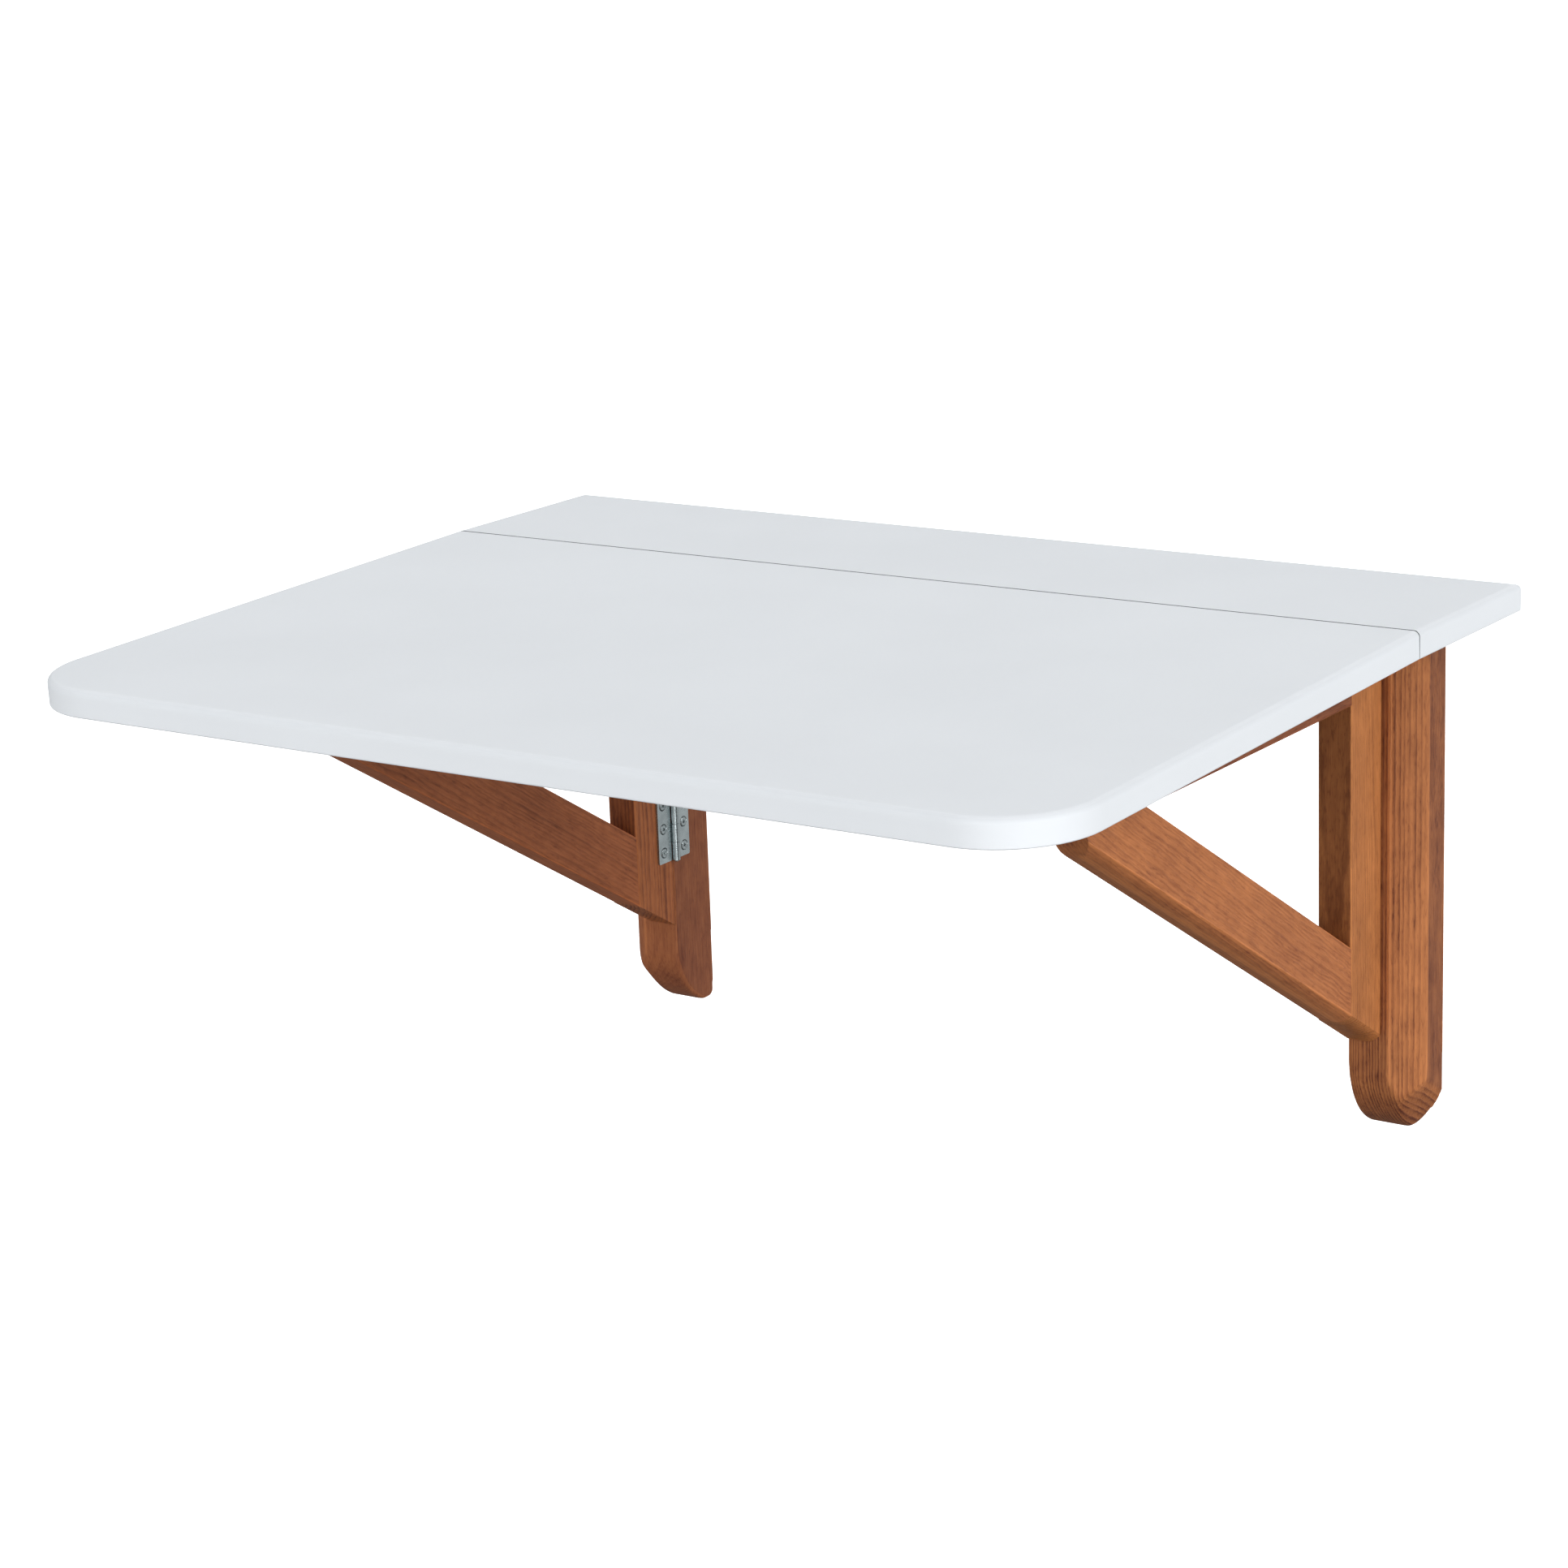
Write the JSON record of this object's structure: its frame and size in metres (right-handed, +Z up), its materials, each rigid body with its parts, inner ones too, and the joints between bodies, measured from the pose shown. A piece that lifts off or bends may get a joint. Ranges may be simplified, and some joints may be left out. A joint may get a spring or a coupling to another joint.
{
  "type": "wall mounted drop leaf table",
  "caption": "Wall table: a narrow board on two wall posts, a hinged leaf with round front corners, and two timber gates that swing out to carry the leaf.",
  "frame": {"origin": "on the wall plane, at the centre of the four wall screw holes", "axes": "+X along the wall to the right as seen from the room, +Y into the wall, +Z up"},
  "size_m": [0.75, 0.6003, 0.377],
  "materials": {
    "white_lacquer": "white lacquered board, satin",
    "stained_timber": "softwood, red brown stain, matt clear coat",
    "beech": "plain beech",
    "zinc_steel": "bright zinc plated steel"
  },
  "bodies": {
    "wall_frame": {"angle_bracket_left": "zinc_steel", "angle_bracket_right": "zinc_steel", "angle_bracket_screws_left": "zinc_steel", "angle_bracket_screws_right": "zinc_steel", "board_dowels": "beech", "board_hinge_plate_left": "zinc_steel", "board_hinge_plate_middle": "zinc_steel", "board_hinge_plate_right": "zinc_steel", "board_hinge_screws": "zinc_steel", "fixed_board": "white_lacquer", "gate_hinge_pin_left_lower": "zinc_steel", "gate_hinge_pin_left_upper": "zinc_steel", "gate_hinge_pin_right_lower": "zinc_steel", "gate_hinge_pin_right_upper": "zinc_steel", "leaf_hinge_pin_left": "zinc_steel", "leaf_hinge_pin_middle": "zinc_steel", "leaf_hinge_pin_right": "zinc_steel", "post_hinge_plate_left_lower": "zinc_steel", "post_hinge_plate_left_upper": "zinc_steel", "post_hinge_plate_right_lower": "zinc_steel", "post_hinge_plate_right_upper": "zinc_steel", "post_hinge_screws_left": "zinc_steel", "post_hinge_screws_right": "zinc_steel", "wall_post_left": "stained_timber", "wall_post_right": "stained_timber"},
    "gate_left": {"gate_brace_left": "stained_timber", "gate_dowels_left": "beech", "gate_hinge_plate_left_lower": "zinc_steel", "gate_hinge_plate_left_upper": "zinc_steel", "gate_hinge_screws_left": "zinc_steel", "gate_rail_left": "stained_timber", "gate_stile_left": "stained_timber"},
    "gate_right": {"gate_brace_right": "stained_timber", "gate_dowels_right": "beech", "gate_hinge_plate_right_lower": "zinc_steel", "gate_hinge_plate_right_upper": "zinc_steel", "gate_hinge_screws_right": "zinc_steel", "gate_rail_right": "stained_timber", "gate_stile_right": "stained_timber"},
    "drop_leaf": {"drop_leaf": "white_lacquer", "leaf_hinge_plate_left": "zinc_steel", "leaf_hinge_plate_middle": "zinc_steel", "leaf_hinge_plate_right": "zinc_steel", "leaf_hinge_screws": "zinc_steel"}
  },
  "joints": [
    {"name": "gate_left_swing", "type": "hinge", "parent": "wall_frame", "child": "gate_left", "pos_m": [-0.272, -0.04415, 0], "axis": [0, 0, 1], "range_deg": [0, 90]},
    {"name": "gate_right_swing", "type": "hinge", "parent": "wall_frame", "child": "gate_right", "pos_m": [0.272, -0.04415, 0], "axis": [0, 0, -1], "range_deg": [0, 80]},
    {"name": "leaf_lift", "type": "hinge", "parent": "wall_frame", "child": "drop_leaf", "pos_m": [0, -0.15, 0.144], "axis": [-1, 0, 0], "range_deg": [0, 1.49]}
  ]
}
